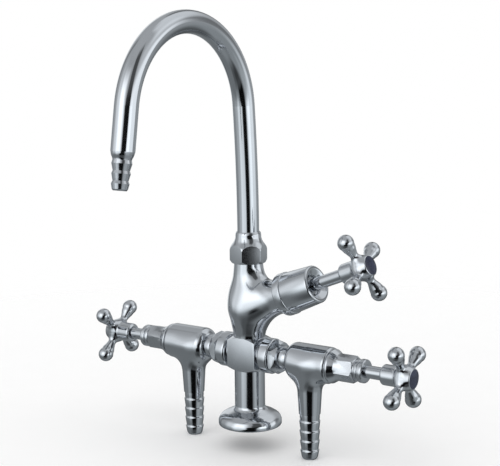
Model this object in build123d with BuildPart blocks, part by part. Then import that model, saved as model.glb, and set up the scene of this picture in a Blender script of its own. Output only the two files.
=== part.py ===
from build123d import *
from math import cos, radians, sin
import os

# Bench tap with three outlets: a pedestal carries a square cross block, a screw-down valve with a
# hose nozzle stands out on each side, and a pear-shaped body on top carries a third, slanted valve
# and a swivel gooseneck.  Millimetres.  Origin: centre of the flange's underside.  +Z is up, +X
# points to the right-hand valve, and the gooseneck reaches out towards -Y.
#
# Along a valve, w is the distance outward on the valve's axis and r the distance from that axis.

# ---------------------------------------------------------------- driving dimensions
bar_z = 64.9              # height of the crossbar's axis above the flange's underside
block_x = 14.4            # half width of the cross block
block_y = 13.6            # half depth of the cross block
block_half_height = 14.8
waterway_r = 6.0          # bore of the main waterways

flange_r = 28.0
flange_edge_z = 4.8       # height of the flange's widest ring
column_r = 13.4
inlet_thread_r = 9.3      # minor radius of a G 1/2 female thread
inlet_thread_depth = 16.0
gasket_in_r, gasket_out_r, gasket_height = 18.0, 25.0, 2.0

spigot_r = 10.0           # screwed ends of the pedestal and the centre body in the block
spigot_length = 5.8

pear_top = 145.2          # where the centre body ends and the gooseneck nut begins
pear_neck_r = 12.6        # also the thread under the gooseneck nut
branch_height = 105.2     # where the slanted valve's axis crosses the centre line
branch_tilt = 21.8        # degrees above level
branch_r = 15.0
branch_rim_r = 18.6
branch_rim_start, branch_end = 40.5, 48.5
crotch_fillet = 9.0

tube_r = 9.5              # gooseneck, 19 mm tube
tube_bore_r = 8.3
tube_foot = 148.5
swivel_clearance = 0.08
lean_start = 168.5        # height where the gooseneck starts to lean
lean_radius = 1320.0
lean_angle = 4.9
bend_radius = 75.6
bend_angle = 166.0
leg_length = 34.0         # straight stretch after the bend

union_start, union_end = 17.4, 35.4      # the coupling nut, along w
union_collar_r = 15.4
union_hex_r = 15.3        # over the corners
union_thread_r = 11.4
union_neck_r = 9.5
nipple_end = 25.4
union_washer_end = 27.4
tail_collar_end = 31.0
tail_end = 43.6           # where the valve body begins
tail_spigot_r, tail_spigot_end = 8.5, 53.0

body_r = 15.6             # side valve body
body_end = 86.0
body_shoulder_r, body_edge_r = 6.8, 3.0   # roundings of its inner and outer end
nozzle_w = 62.7           # distance of the hose nozzles from the centre line
nozzle_tip_z = -19.8
nozzle_bore_r = 4.2
seat_bore_r = 4.6
chamber_r = 11.0

side_seat = 61.5          # where a seat washer meets its seat, along w
top_seat = 13.5
side_arm_plane = 153.9    # plane of the handle's arms, along w
top_arm_plane = 123.0

spindle_r = 5.4
stem_thread_r = 6.0
thread_clearance = 0.05

arm_reach = 26.5          # from the handle's axis to the centre of a ball end
ball_r = 6.8
hub_r = 10.6
skirt_r = 8.7
bezel_r = 8.6
index_r = 8.0
square_drive = 7.0

os.makedirs("parts", exist_ok=True)


class ValveAxis:
    """One valve's axis, with the planes that its pieces are drawn on."""

    def __init__(self, name, origin, direction, side, seat, arm_plane, arm_turn):
        self.name = name
        self.origin = Vector(*origin)
        self.direction = Vector(*direction)
        self.axis = Axis(origin, direction)
        self.profile = Plane(origin=origin, x_dir=direction, z_dir=side)
        self.seat = seat
        self.arm_plane = arm_plane
        self.arm_turn = arm_turn

    def section(self, w):
        """Plane square to the axis at w, with its x along the crossbar's depth."""
        return Plane(origin=self.origin + self.direction * w, x_dir=(0, 1, 0), z_dir=self.direction)


slope = radians(branch_tilt)
left = ValveAxis("left", (0, 0, bar_z), (-1, 0, 0), (0, 1, 0), side_seat, side_arm_plane, -47.5)
right = ValveAxis("right", (0, 0, bar_z), (1, 0, 0), (0, -1, 0), side_seat, side_arm_plane, 34.2)
top = ValveAxis("top", (0, 0, branch_height), (cos(slope), 0, sin(slope)), (0, -1, 0),
                top_seat, top_arm_plane, 27.5)
side_valves = [left, right]
all_valves = [left, right, top]


def on_circle(centre, radius, degrees):
    """Point at an angle on a circle, in the sketch's own coordinates."""
    return centre[0] + radius * cos(radians(degrees)), centre[1] + radius * sin(radians(degrees))


# ---------------------------------------------------------------- pedestal and cross block
block_bottom = bar_z - block_half_height
block_top = bar_z + block_half_height
pedestal_spigot_top = block_bottom + spigot_length
dome_start_z = 17.8       # where the column starts to flare into the flange

with BuildPart() as pedestal:
    with BuildSketch(Plane.XZ):
        with BuildLine():
            Polyline((inlet_thread_r, 0), (gasket_in_r, 0), (gasket_in_r, gasket_height),
                     (gasket_out_r, gasket_height), (gasket_out_r, 0), (flange_r - 1.5, 0))
            ThreePointArc((flange_r - 1.5, 0), (flange_r - 0.4, 0.8), (flange_r, 2.2))
            Line((flange_r, 2.2), (flange_r, flange_edge_z))
            Spline((flange_r, flange_edge_z), (26.4, 8.1), (22.6, 10.9), (16.6, 13.5),
                   (column_r, dome_start_z), tangents=[(0, 1), (0, 1)])
            Polyline((column_r, dome_start_z), (column_r, block_bottom), (spigot_r, block_bottom),
                     (spigot_r, pedestal_spigot_top), (waterway_r, pedestal_spigot_top),
                     (waterway_r, inlet_thread_depth + 3), (inlet_thread_r, inlet_thread_depth),
                     (inlet_thread_r, 0))
        make_face()
    revolve(axis=Axis.Z)
pedestal.part.label = "pedestal"
export_step(pedestal.part, "parts/pedestal.step")

with BuildPart() as base_gasket:
    with BuildSketch():
        Circle(gasket_out_r)
        Circle(gasket_in_r, mode=Mode.SUBTRACT)
    extrude(amount=gasket_height)
base_gasket.part.label = "base_gasket"
export_step(base_gasket.part, "parts/base_gasket.step")

nipple_spigot_r = 8.0
nipple_spigot_start = 7.5
turned_corner_r = 14.0    # radius of the turned chamfer where it meets the block's ends
turned_depth = 3.4

with BuildPart() as cross_block:
    with BuildSketch(Plane.XY.offset(block_bottom)):
        Rectangle(2 * block_x, 2 * block_y)
    extrude(amount=2 * block_half_height)
    with BuildSketch(Plane.XZ):
        with BuildLine():
            Polyline((0, block_bottom), (turned_corner_r, block_bottom),
                     (turned_corner_r + 2 * turned_depth, block_bottom + turned_depth),
                     (turned_corner_r + 2 * turned_depth, block_top - turned_depth),
                     (turned_corner_r, block_top), (0, block_top), close=True)
        make_face()
    revolve(axis=Axis.Z, mode=Mode.INTERSECT)
    for hole_plane in (Plane.XY.offset(block_bottom), Plane.XY.offset(block_top - spigot_length)):
        with BuildSketch(hole_plane):
            Circle(spigot_r)
        extrude(amount=spigot_length, mode=Mode.SUBTRACT)
    with BuildSketch(Plane.XY.offset(block_bottom)):
        Circle(waterway_r)
    extrude(amount=2 * block_half_height, mode=Mode.SUBTRACT)
    for valve in side_valves:
        with BuildSketch(valve.section(0)):
            Circle(waterway_r)
        extrude(amount=block_x, mode=Mode.SUBTRACT)
        with BuildSketch(valve.section(nipple_spigot_start)):
            Circle(nipple_spigot_r)
        extrude(amount=block_x - nipple_spigot_start, mode=Mode.SUBTRACT)
cross_block.part.label = "cross_block"
export_step(cross_block.part, "parts/cross_block.step")

# ---------------------------------------------------------------- unions between block and valves
nipple_flange_r = 12.0
tail_bead_r = 10.7
hex_start = union_start + 11.0

for valve in side_valves:
    with BuildPart() as union_nipple:
        with BuildSketch(valve.profile):
            with BuildLine():
                Polyline((nipple_spigot_start, waterway_r), (nipple_spigot_start, nipple_spigot_r),
                         (block_x, nipple_spigot_r), (block_x, nipple_flange_r),
                         (union_start, nipple_flange_r), (union_start, union_thread_r),
                         (nipple_end, union_thread_r), (nipple_end, waterway_r), close=True)
            make_face()
        revolve(axis=valve.axis)
    union_nipple.part.label = f"{valve.name}_union_nipple"
    export_step(union_nipple.part, f"parts/{valve.name}_union_nipple.step")

    with BuildPart() as union_washer:
        with BuildSketch(valve.section(nipple_end)):
            Circle(union_thread_r - 0.3)
            Circle(waterway_r, mode=Mode.SUBTRACT)
        extrude(amount=union_washer_end - nipple_end)
    union_washer.part.label = f"{valve.name}_union_washer"
    export_step(union_washer.part, f"parts/{valve.name}_union_washer.step")

    with BuildPart() as union_tail:
        with BuildSketch(valve.profile):
            with BuildLine():
                Polyline((tail_spigot_end, waterway_r), (union_washer_end, waterway_r),
                         (union_washer_end, union_thread_r - 0.3),
                         (tail_collar_end, union_thread_r - 0.3), (tail_collar_end, union_neck_r),
                         (union_end, union_neck_r), (union_end, 10.0))
                ThreePointArc((union_end, 10.0), (0.5 * (union_end + tail_end), tail_bead_r),
                              (tail_end, 10.0))
                Polyline((tail_end, 10.0), (tail_end, tail_spigot_r),
                         (tail_spigot_end, tail_spigot_r), (tail_spigot_end, waterway_r))
            make_face()
        revolve(axis=valve.axis)
    union_tail.part.label = f"{valve.name}_union_tail"
    export_step(union_tail.part, f"parts/{valve.name}_union_tail.step")

    with BuildPart() as union_nut:
        with BuildSketch(valve.section(hex_start)):
            RegularPolygon(union_hex_r, 6, rotation=30)
        extrude(amount=union_end - hex_start)
        with BuildSketch(valve.profile):
            with BuildLine():
                Polyline((hex_start, 0), (hex_start, union_hex_r - 1.2),
                         (hex_start + 0.9, union_hex_r), (union_end - 4.6, union_hex_r),
                         (union_end, union_hex_r - 2.6), (union_end, 0), close=True)
            make_face()
        revolve(axis=valve.axis, mode=Mode.INTERSECT)
        with BuildSketch(valve.profile):
            with BuildLine():
                Line((union_start, 0), (union_start, union_collar_r - 2.4))
                TangentArc((union_start, union_collar_r - 2.4), (union_start + 2.4, union_collar_r),
                           tangent=(0, 1))
                Line((union_start + 2.4, union_collar_r), (hex_start - 2.6, union_collar_r))
                TangentArc((hex_start - 2.6, union_collar_r), (hex_start - 1.0, union_collar_r - 1.6),
                           tangent=(1, 0))
                Polyline((hex_start - 1.0, union_collar_r - 1.6), (hex_start, union_collar_r - 1.6),
                         (hex_start, 0), (union_start, 0))
            make_face()
        revolve(axis=valve.axis)
        with BuildSketch(valve.profile):
            with BuildLine():
                Polyline((union_start, 0), (union_start, union_thread_r),
                         (tail_collar_end, union_thread_r), (tail_collar_end, union_neck_r),
                         (union_end, union_neck_r), (union_end, 0), close=True)
            make_face()
        revolve(axis=valve.axis, mode=Mode.SUBTRACT)
    union_nut.part.label = f"{valve.name}_union_nut"
    export_step(union_nut.part, f"parts/{valve.name}_union_nut.step")

# ---------------------------------------------------------------- side valve bodies with hose nozzles
bonnet_start = side_seat + 15.5      # where the bonnet's screwed foot begins
bonnet_thread_r = 12.4
seal_height = 1.2
nozzle_root_r = 12.1
nozzle_shoulder_z = 20.0
nozzle_shoulder_r = 9.35
barb_pitch = 8.6
first_barb_z = 13.5
barb_crests = [(9.15, first_barb_z), (8.9, first_barb_z - barb_pitch),
               (8.6, first_barb_z - 2 * barb_pitch), (8.2, first_barb_z - 3 * barb_pitch)]
barb_step = 0.75
seat_land_r = 6.4

for valve in side_valves:
    nozzle_x = valve.direction.X * nozzle_w
    with BuildPart() as valve_body:
        with BuildSketch(valve.profile):
            with BuildLine():
                Polyline((body_end, 0), (tail_end, 0), (tail_end, body_r - body_shoulder_r))
                TangentArc((tail_end, body_r - body_shoulder_r),
                           (tail_end + body_shoulder_r, body_r), tangent=(0, 1))
                Line((tail_end + body_shoulder_r, body_r), (body_end - body_edge_r, body_r))
                TangentArc((body_end - body_edge_r, body_r), (body_end, body_r - body_edge_r),
                           tangent=(1, 0))
                Line((body_end, body_r - body_edge_r), (body_end, 0))
            make_face()
        revolve(axis=valve.axis)
        with BuildSketch(Plane(origin=(nozzle_x, 0, 0), x_dir=(1, 0, 0), z_dir=(0, -1, 0))):
            with BuildLine():
                Polyline((0, bar_z), (nozzle_root_r, bar_z), (nozzle_shoulder_r, nozzle_shoulder_z),
                         (nozzle_shoulder_r - barb_step, barb_crests[0][1] + 1.6), barb_crests[0])
                for crest, lower in zip(barb_crests, barb_crests[1:]):
                    foot = (lower[0] - barb_step, lower[1] + 1.0)
                    Polyline(crest, (foot[0] + 0.2, foot[1] + 1.8), foot, lower)
                Polyline(barb_crests[-1], (7.0, nozzle_tip_z + 1.6), (6.0, nozzle_tip_z),
                         (0, nozzle_tip_z), (0, bar_z))
            make_face()
        revolve(axis=Axis((nozzle_x, 0, 0), (0, 0, 1)))
        fillet(valve_body.edges().filter_by(GeomType.BSPLINE), radius=4.0)
        with BuildSketch(valve.profile):
            with BuildLine():
                Polyline((tail_end, 0), (tail_end, tail_spigot_r), (tail_spigot_end, tail_spigot_r),
                         (tail_spigot_end, seat_bore_r), (side_seat, seat_bore_r),
                         (side_seat, seat_land_r), (side_seat - 1.5, seat_land_r + 1.0),
                         (side_seat - 1.5, chamber_r), (bonnet_start - seal_height, chamber_r),
                         (bonnet_start - seal_height, bonnet_thread_r),
                         (body_end, bonnet_thread_r), (body_end, 0), close=True)
            make_face()
        revolve(axis=valve.axis, mode=Mode.SUBTRACT)
        with BuildSketch(Plane(origin=(nozzle_x, 0, nozzle_tip_z))):
            Circle(nozzle_bore_r)
        extrude(amount=bar_z - 9.0 - nozzle_tip_z, mode=Mode.SUBTRACT)
    valve_body.part.label = f"{valve.name}_valve_body"
    export_step(valve_body.part, f"parts/{valve.name}_valve_body.step")

# ---------------------------------------------------------------- centre body with the slanted branch
top_bonnet_start = top_seat + 15.5
socket_groove_z = 151.2
o_ring_r, o_ring_wire_r = 10.28, 0.72
body_thread_top = 155.0

with BuildPart() as centre_body:
    with BuildSketch(Plane.XZ):
        with BuildLine():
            Polyline((0, block_top - spigot_length), (-spigot_r, block_top - spigot_length),
                     (-spigot_r, block_top), (-turned_corner_r, block_top))
            Spline((-turned_corner_r, block_top), (-14.3, 84.4), (-16.2, 94.0), (-18.35, 105.0),
                   (-16.6, 119.2), (-13.7, 133.2), (-pear_neck_r, pear_top),
                   tangents=[(0, 1), (0.1, 1)])
            Polyline((-pear_neck_r, pear_top), (0, pear_top), (0, block_top - spigot_length))
        make_face()
    revolve(axis=Axis.Z)
    with BuildSketch(top.profile):
        with BuildLine():
            Polyline((branch_end, 0), (0, 0), (0, branch_r - 1.0), (branch_rim_start, branch_r),
                     (branch_rim_start, branch_rim_r - 1.3))
            TangentArc((branch_rim_start, branch_rim_r - 1.3),
                       (branch_rim_start + 1.3, branch_rim_r), tangent=(0, 1))
            Line((branch_rim_start + 1.3, branch_rim_r), (branch_end - 1.0, branch_rim_r))
            TangentArc((branch_end - 1.0, branch_rim_r), (branch_end, branch_rim_r - 1.0),
                       tangent=(1, 0))
            Line((branch_end, branch_rim_r - 1.0), (branch_end, 0))
        make_face()
    revolve(axis=top.axis)
    fillet(centre_body.edges().filter_by(GeomType.BSPLINE).sort_by(SortBy.LENGTH)[-1],
           radius=crotch_fillet)
    with BuildSketch(Plane.XY.offset(pear_top)):
        Circle(pear_neck_r)
    extrude(amount=body_thread_top - pear_top)
    # socket of the gooseneck, with the groove of its O-ring
    with BuildSketch(Plane.XZ):
        with BuildLine():
            Polyline((0, tube_foot - 0.5), (tube_r + swivel_clearance, tube_foot - 0.5),
                     (tube_r + swivel_clearance, socket_groove_z - 0.8),
                     (o_ring_r + o_ring_wire_r, socket_groove_z - 0.8),
                     (o_ring_r + o_ring_wire_r, socket_groove_z + 0.8),
                     (tube_r + swivel_clearance, socket_groove_z + 0.8),
                     (tube_r + swivel_clearance, body_thread_top), (0, body_thread_top), close=True)
        make_face()
    revolve(axis=Axis.Z, mode=Mode.SUBTRACT)
    # valve chamber, seat and the bonnet's thread along the branch
    with BuildSketch(top.profile):
        with BuildLine():
            Polyline((0, 0), (0, seat_bore_r), (top_seat, seat_bore_r), (top_seat, seat_land_r),
                     (top_seat - 1.5, seat_land_r + 1.0), (top_seat - 1.5, chamber_r),
                     (top_bonnet_start - seal_height, chamber_r),
                     (top_bonnet_start - seal_height, bonnet_thread_r),
                     (branch_end, bonnet_thread_r), (branch_end, 0), close=True)
        make_face()
    revolve(axis=top.axis, mode=Mode.SUBTRACT)
    # way in from the block, and way out to the gooseneck past the seat
    with BuildSketch(Plane.XY.offset(block_top - spigot_length)):
        Circle(seat_bore_r)
    extrude(amount=branch_height - block_top + spigot_length + 3.0, mode=Mode.SUBTRACT)
    with BuildSketch(Plane(origin=(6.6, 0, 114.0))):
        Circle(5.2)
    extrude(amount=tube_foot - 114.0, mode=Mode.SUBTRACT)
centre_body.part.label = "centre_body"
export_step(centre_body.part, "parts/centre_body.step")

# ---------------------------------------------------------------- gooseneck and its swivel
with BuildPart() as gooseneck:
    with BuildLine(Plane.YZ) as gooseneck_path:
        riser = Line((0, tube_foot), (0, lean_start))
        leaning = JernArc(riser @ 1, riser % 1, lean_radius, lean_angle)
        bend = JernArc(leaning @ 1, leaning % 1, bend_radius, bend_angle)
        leg = Line(bend @ 1, bend @ 1 + (bend % 1) * leg_length)
    with BuildSketch(Plane.XY.offset(tube_foot)):
        Circle(tube_r)
        Circle(tube_bore_r, mode=Mode.SUBTRACT)
    sweep()
gooseneck.part.label = "gooseneck"
export_step(gooseneck.part, "parts/gooseneck.step")

leg_end = leg @ 1
leg_direction = leg % 1
spout_axis = Axis(leg_end, leg_direction)
nozzle_plug_length = 10.0
spout_bore_r = 4.5
spout_crests = [(8.8, 8.0), (16.4, 7.4), (24.0, 7.05)]

with BuildPart() as spout_nozzle:
    with BuildSketch(Plane(origin=leg_end, x_dir=leg_direction, z_dir=(1, 0, 0))):
        with BuildLine():
            Polyline((-nozzle_plug_length, spout_bore_r + 1.5), (-nozzle_plug_length, tube_bore_r),
                     (0, tube_bore_r), (0, tube_r - 0.2))
            Spline((0, tube_r - 0.2), (3.0, 8.6), (6.2, 7.4), tangents=[(1, -0.12), (1, -0.1)])
            Polyline((6.2, 7.4), spout_crests[0], (12.6, 7.0), (14.2, 6.6), spout_crests[1],
                     (20.2, 6.5), (21.8, 6.1), spout_crests[2], (28.2, 6.2), (29.4, 5.2),
                     (29.4, spout_bore_r), (-nozzle_plug_length + 1.5, spout_bore_r),
                     (-nozzle_plug_length, spout_bore_r + 1.5))
        make_face()
    revolve(axis=spout_axis)
spout_nozzle.part.label = "spout_nozzle"
export_step(spout_nozzle.part, "parts/spout_nozzle.step")

washer_height = 1.0
ferrule_start = body_thread_top + washer_height + 0.05
ferrule_end = ferrule_start + 3.5
ferrule_r = pear_neck_r - 0.4
nut_lip = ferrule_end + 0.1
nut_top = 172.4

with BuildPart() as spout_ferrule:
    with BuildSketch(Plane.XY.offset(ferrule_start)):
        Circle(ferrule_r)
        Circle(tube_r, mode=Mode.SUBTRACT)
    extrude(amount=ferrule_end - ferrule_start)
    chamfer(spout_ferrule.edges().filter_by(GeomType.CIRCLE).sort_by(SortBy.RADIUS)[-2:], length=0.4)
spout_ferrule.part.label = "spout_ferrule"
export_step(spout_ferrule.part, "parts/spout_ferrule.step")

with BuildPart() as swivel_washer:
    with BuildSketch(Plane.XY.offset(body_thread_top)):
        Circle(ferrule_r)
        Circle(tube_r + swivel_clearance, mode=Mode.SUBTRACT)
    extrude(amount=washer_height)
swivel_washer.part.label = "swivel_washer"
export_step(swivel_washer.part, "parts/swivel_washer.step")

with BuildPart() as swivel_o_ring:
    with BuildSketch(Plane.XZ):
        with Locations((o_ring_r, socket_groove_z)):
            Circle(o_ring_wire_r)
    revolve(axis=Axis.Z)
swivel_o_ring.part.label = "swivel_o_ring"
export_step(swivel_o_ring.part, "parts/swivel_o_ring.step")

nut_hex_r = 16.5          # over the corners
nut_hex_top = 158.6
nut_hex_turn = 45.0

with BuildPart() as gooseneck_nut:
    with BuildSketch(Plane.XY.offset(pear_top)):
        RegularPolygon(nut_hex_r, 6, rotation=nut_hex_turn)
    extrude(amount=nut_top - pear_top)
    with BuildSketch(Plane.XZ):
        with BuildLine():
            Polyline((0, pear_top), (nut_hex_r - 1.9, pear_top), (nut_hex_r, pear_top + 2.6),
                     (nut_hex_r, nut_hex_top - 2.0))
            Spline((nut_hex_r, nut_hex_top - 2.0), (15.6, nut_hex_top + 0.7), (12.6, 163.6),
                   (11.3, 167.0), tangents=[(0, 1), (-0.1, 1)])
            Line((11.3, 167.0), (11.2, 169.6))
            ThreePointArc((11.2, 169.6), (10.9, 171.4), (10.1, nut_top))
            Polyline((10.1, nut_top), (0, nut_top), (0, pear_top))
        make_face()
    revolve(axis=Axis.Z, mode=Mode.INTERSECT)
    with BuildSketch(Plane.XY.offset(pear_top)):
        Circle(pear_neck_r)
    extrude(amount=nut_lip - pear_top, mode=Mode.SUBTRACT)
    with BuildSketch(Plane.XY.offset(nut_lip)):
        Circle(tube_r + swivel_clearance)
    extrude(amount=nut_top - nut_lip, mode=Mode.SUBTRACT)
gooseneck_nut.part.label = "gooseneck_nut"
export_step(gooseneck_nut.part, "parts/gooseneck_nut.step")

# ---------------------------------------------------------------- headworks, the same in all three valves
recess_r = 6.4            # the handle's recess for its screw
recess_floor = -6.9       # from the arm plane
drive_floor = -15.4       # from the arm plane, where the square begins
screw_hole_r, screw_hole_depth = 1.7, 9.0
guide_r = 8.6             # bore that the stop collar runs in
stop_collar_r = 8.0
packing_r = 7.6
bonnet_hex_r = 12.5       # over the corners, under the sleeve
side_hex_r = 11.6         # over the corners, on the side valves
side_hex_turn = 14.0
cone_start_r, cone_end_r, cone_length = 14.6, 9.6, 12.2     # shoulder of a side bonnet
bonnet_top_r = 9.0
packing_nut_r = 10.0
packing_height = 3.0
seat_washer_r, seat_washer_height = 7.4, 2.0
jumper_r, jumper_thickness = 7.6, 2.5
jumper_stem_r, jumper_stem_end = 2.5, 13.0
jumper_pip_r = 1.6        # holds the seat washer

for valve in all_valves:
    seat = valve.seat
    foot = seat + 15.5                # the bonnet's inner end
    shoulder = seat + 23.0            # the spindle's collar stops here when fully open
    packing_floor = seat + 42.5
    packing_end = packing_floor + packing_height
    hex_end = seat + 48.0
    bonnet_top = seat + 49.0
    packing_nut_end = bonnet_top + 8.1
    if valve is top:
        hex_r, hex_turn = bonnet_hex_r, 30.0
        neck_start, neck_end = branch_end, branch_end + 5.5
        shoulder_profile = [(neck_start, 13.2), (neck_end, 13.2)]
    else:
        hex_r, hex_turn = side_hex_r, side_hex_turn
        neck_start, neck_end = body_end, body_end + 0.4
        shoulder_profile = [(neck_start, cone_start_r - 0.4), (neck_end, cone_start_r),
                            (neck_end + 1.2, cone_start_r),
                            (neck_end + cone_length, cone_end_r)]

    with BuildPart() as bonnet:
        with BuildSketch(valve.section(neck_end)):
            RegularPolygon(hex_r, 6, rotation=hex_turn)
        extrude(amount=hex_end - neck_end)
        with BuildSketch(valve.profile):
            with BuildLine():
                Polyline((neck_end, 0), (neck_end, hex_r - 2.4),
                         (neck_end + 3.6, hex_r), (hex_end - 1.6, hex_r),
                         (hex_end, hex_r - 1.9), (hex_end, 0), close=True)
            make_face()
        revolve(axis=valve.axis, mode=Mode.INTERSECT)
        with BuildSketch(valve.profile):
            with BuildLine():
                Polyline((foot, 0), (foot, bonnet_thread_r), (neck_start, bonnet_thread_r),
                         *shoulder_profile, (shoulder_profile[-1][0], bonnet_top_r),
                         (bonnet_top, bonnet_top_r), (bonnet_top, 0), close=True)
            make_face()
        revolve(axis=valve.axis)
        with BuildSketch(valve.profile):
            with BuildLine():
                Polyline((foot, 0), (foot, guide_r), (shoulder, guide_r),
                         (shoulder, stem_thread_r + thread_clearance),
                         (packing_floor, stem_thread_r + thread_clearance),
                         (packing_floor, packing_r), (bonnet_top, packing_r), (bonnet_top, 0),
                         close=True)
            make_face()
        revolve(axis=valve.axis, mode=Mode.SUBTRACT)
    bonnet.part.label = f"{valve.name}_bonnet"
    export_step(bonnet.part, f"parts/{valve.name}_bonnet.step")

    with BuildPart() as bonnet_seal:
        with BuildSketch(valve.section(foot - seal_height)):
            Circle(bonnet_thread_r)
            Circle(chamber_r, mode=Mode.SUBTRACT)
        extrude(amount=seal_height)
    bonnet_seal.part.label = f"{valve.name}_bonnet_seal"
    export_step(bonnet_seal.part, f"parts/{valve.name}_bonnet_seal.step")

    with BuildPart() as packing:
        with BuildSketch(valve.section(packing_floor)):
            Circle(packing_r)
            Circle(spindle_r + 0.02, mode=Mode.SUBTRACT)
        extrude(amount=packing_height)
    packing.part.label = f"{valve.name}_packing"
    export_step(packing.part, f"parts/{valve.name}_packing.step")

    with BuildPart() as packing_nut:
        with BuildSketch(valve.profile):
            with BuildLine():
                Polyline((packing_end, spindle_r + 0.08), (packing_end, packing_r),
                         (bonnet_top, packing_r), (bonnet_top, packing_nut_r - 0.9),
                         (bonnet_top + 0.4, packing_nut_r - 0.5),
                         (bonnet_top + 2.8, packing_nut_r - 0.5),
                         (bonnet_top + 3.2, packing_nut_r - 1.0),
                         (bonnet_top + 3.6, packing_nut_r), (packing_nut_end - 1.2, packing_nut_r),
                         (packing_nut_end, packing_nut_r - 1.2),
                         (packing_nut_end, spindle_r + 0.08), close=True)
            make_face()
        revolve(axis=valve.axis)
    packing_nut.part.label = f"{valve.name}_packing_nut"
    export_step(packing_nut.part, f"parts/{valve.name}_packing_nut.step")

    with BuildPart() as seat_washer:
        with BuildSketch(valve.section(seat)):
            Circle(seat_washer_r)
            Circle(jumper_pip_r, mode=Mode.SUBTRACT)
        extrude(amount=seat_washer_height)
    seat_washer.part.label = f"{valve.name}_seat_washer"
    export_step(seat_washer.part, f"parts/{valve.name}_seat_washer.step")

    plate = seat + seat_washer_height
    with BuildPart() as jumper:
        with BuildSketch(valve.profile):
            with BuildLine():
                Polyline((seat - 0.6, 0), (seat - 0.6, jumper_pip_r), (plate, jumper_pip_r),
                         (plate, jumper_r), (plate + jumper_thickness, jumper_r),
                         (plate + jumper_thickness, jumper_stem_r),
                         (seat + jumper_stem_end, jumper_stem_r), (seat + jumper_stem_end, 0),
                         close=True)
            make_face()
        revolve(axis=valve.axis)
    jumper.part.label = f"{valve.name}_jumper"
    export_step(jumper.part, f"parts/{valve.name}_jumper.step")

    drive_start = valve.arm_plane + drive_floor
    spindle_end = valve.arm_plane + recess_floor
    stem_start = plate + jumper_thickness + 0.05
    collar_start = seat + 14.5
    stem_thread_end = seat + 36.0
    jumper_hole_r = jumper_stem_r + 0.05
    jumper_hole_end = seat + jumper_stem_end + 0.6
    with BuildPart() as spindle:
        with BuildSketch(valve.profile):
            with BuildLine():
                Polyline((stem_start, jumper_hole_r), (stem_start, 5.2),
                         (stem_start + 0.75, stem_thread_r), (collar_start, stem_thread_r),
                         (collar_start, stop_collar_r), (collar_start + 3.0, stop_collar_r),
                         (collar_start + 3.0, stem_thread_r), (stem_thread_end, stem_thread_r),
                         (stem_thread_end + 0.6, spindle_r), (drive_start, spindle_r),
                         (drive_start, 0), (jumper_hole_end, 0),
                         (jumper_hole_end, jumper_hole_r), close=True)
            make_face()
        revolve(axis=valve.axis)
        with BuildSketch(valve.section(drive_start)):
            Rectangle(square_drive, square_drive, rotation=valve.arm_turn)
        extrude(amount=spindle_end - drive_start)
        with BuildSketch(valve.section(spindle_end)):
            Circle(screw_hole_r)
        extrude(amount=-screw_hole_depth, mode=Mode.SUBTRACT)
    spindle.part.label = f"{valve.name}_spindle"
    export_step(spindle.part, f"parts/{valve.name}_spindle.step")

# ---------------------------------------------------------------- sleeve over the slanted headwork
shroud_end = 76.0
shroud_start_r, shroud_end_r = 17.9, 16.2
shroud_bore_r = 13.2
shroud_thread_end = branch_end + 5.5

with BuildPart() as top_shroud:
    with BuildSketch(top.profile):
        with BuildLine():
            Polyline((branch_end, shroud_bore_r), (branch_end, shroud_start_r - 0.6),
                     (branch_end + 0.6, shroud_start_r), (shroud_end - 1.6, shroud_end_r))
            ThreePointArc((shroud_end - 1.6, shroud_end_r), (shroud_end - 0.45, shroud_end_r - 0.5),
                          (shroud_end, shroud_end_r - 1.6))
            Polyline((shroud_end, shroud_end_r - 1.6), (shroud_end, 13.2), (shroud_end - 3.0, 8.4),
                     (shroud_end - 5.0, 8.4), (shroud_end - 5.0, 11.0), (shroud_end - 8.0, 13.2),
                     (branch_end, shroud_bore_r))
        make_face()
    revolve(axis=top.axis)
top_shroud.part.label = "top_shroud"
export_step(top_shroud.part, "parts/top_shroud.step")

# ---------------------------------------------------------------- cross handles
handle_foot = -19.5       # from the arm plane
screw_head_r = 5.8
cap_seat, face = 6.9, 8.4          # from the arm plane
ball_join_angle = 112.0
waist_r, waist_s = 4.1, 13.0

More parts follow.
